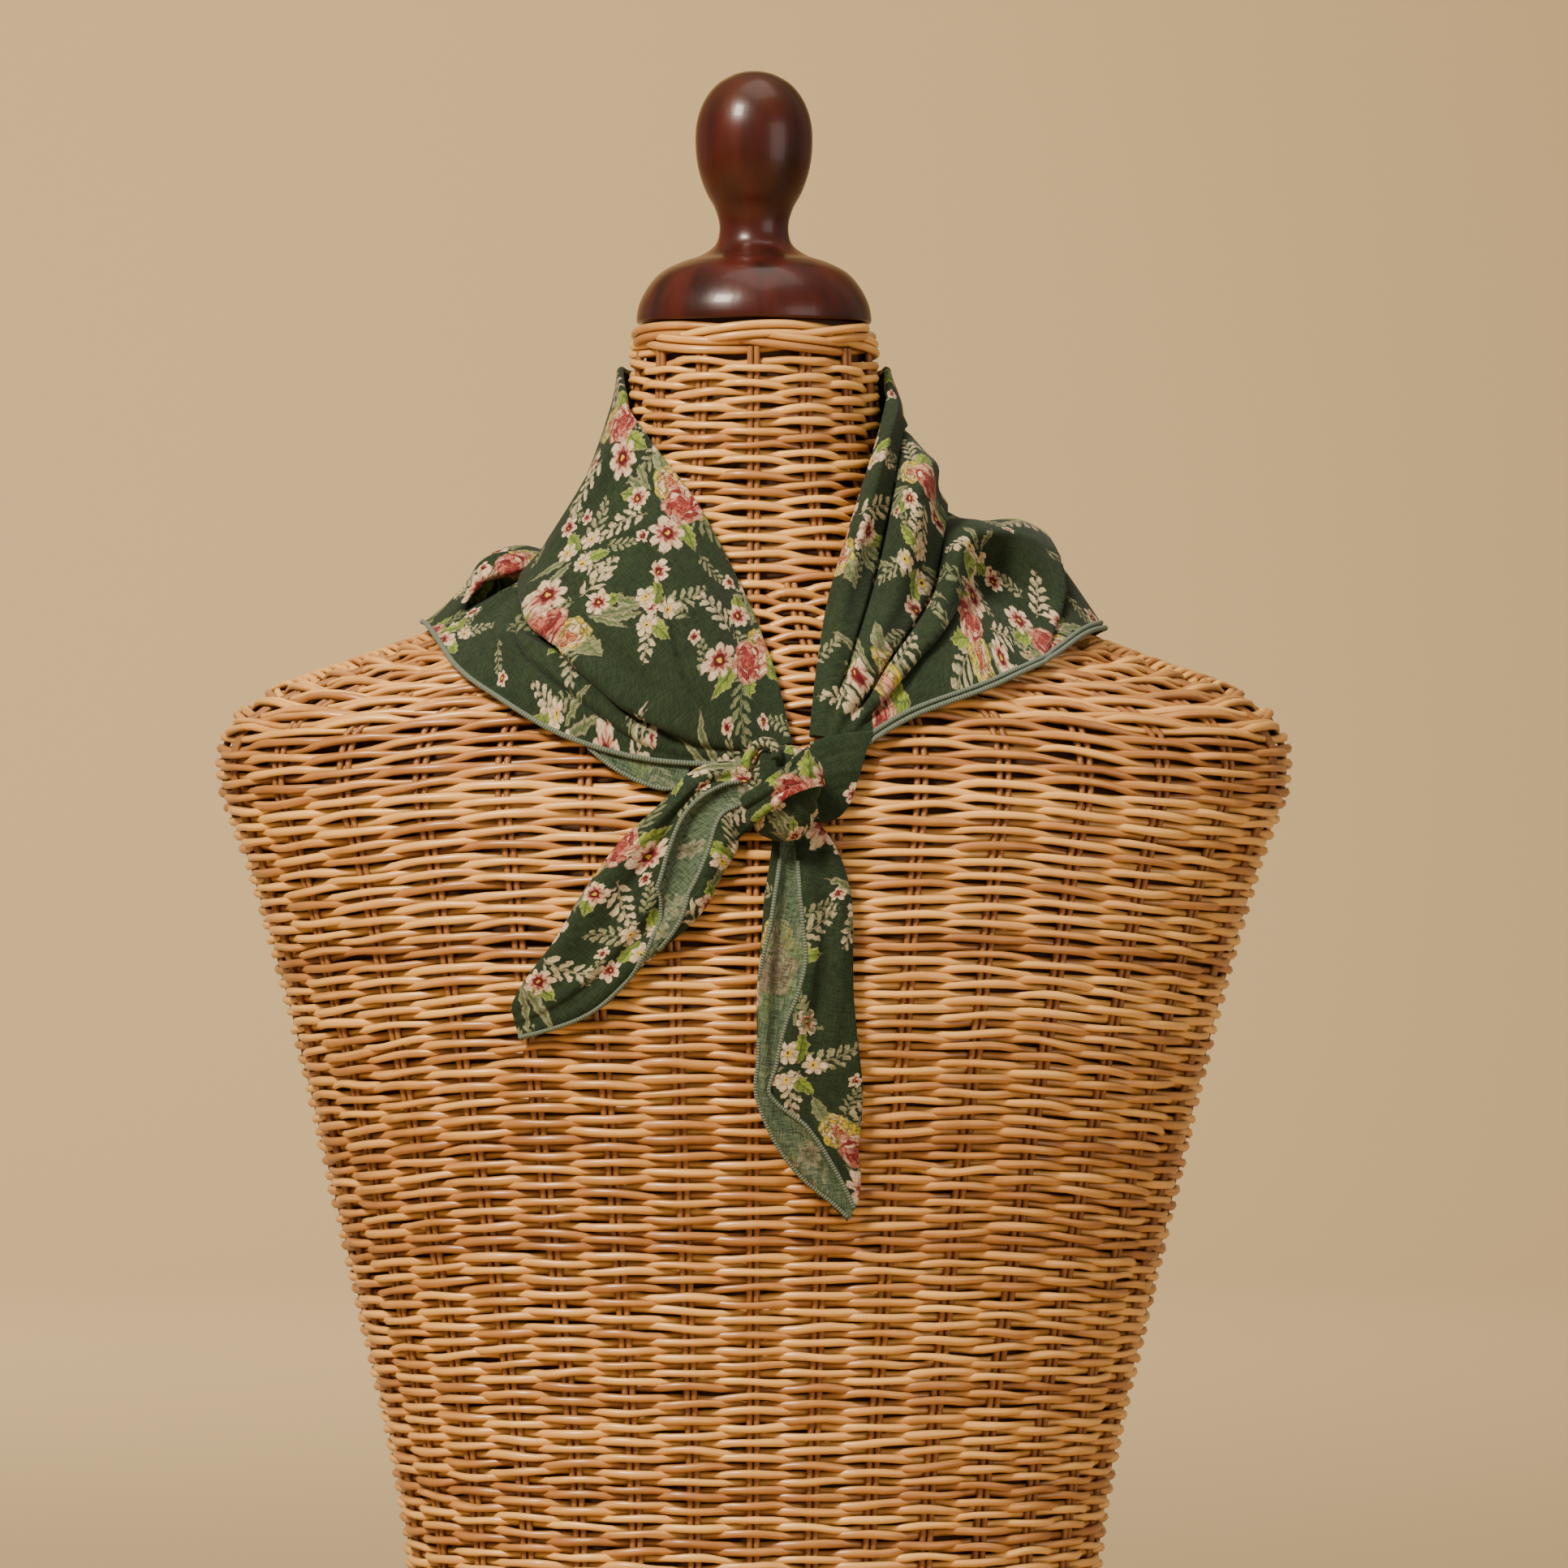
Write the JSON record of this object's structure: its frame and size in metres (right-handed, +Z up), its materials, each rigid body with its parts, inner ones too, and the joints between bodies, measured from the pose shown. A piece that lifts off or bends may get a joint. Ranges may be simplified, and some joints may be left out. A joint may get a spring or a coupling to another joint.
{
  "type": "square scarf on wicker dress form",
  "caption": "Square cloth scarf folded to a triangle, wound round the neck of a limbless wicker dress form and knotted at the front, with two loose tails.",
  "frame": {"origin": "middle of the dress form's flat base, on the vertical axis of its neck", "axes": "+Z up along the neck and the finial, -Y out of the front where the knot lies, +X to the viewer's right from the front, which is the form's own left"},
  "size_m": [0.419, 0.2483, 0.7473],
  "materials": {
    "woven_cane": "split and round cane, honey tan, varnished",
    "polished_wood": "turned wood, dark red-brown gloss varnish",
    "printed_cloth": "plain-woven light cotton, deep green with a floral print, matt"
  },
  "bodies": {
    "root": {"form_torso": "woven_cane", "form_neck_rim": "woven_cane", "form_finial": "polished_wood", "scarf_left_front": "printed_cloth", "scarf_back": "printed_cloth", "scarf_right_front": "printed_cloth", "scarf_left_tail": "printed_cloth", "scarf_right_tail": "printed_cloth", "scarf_left_underlap": "printed_cloth", "scarf_right_tuck": "printed_cloth", "scarf_knot": "printed_cloth", "scarf_knot_band": "printed_cloth", "scarf_knot_twist": "printed_cloth"}
  },
  "joints": []
}
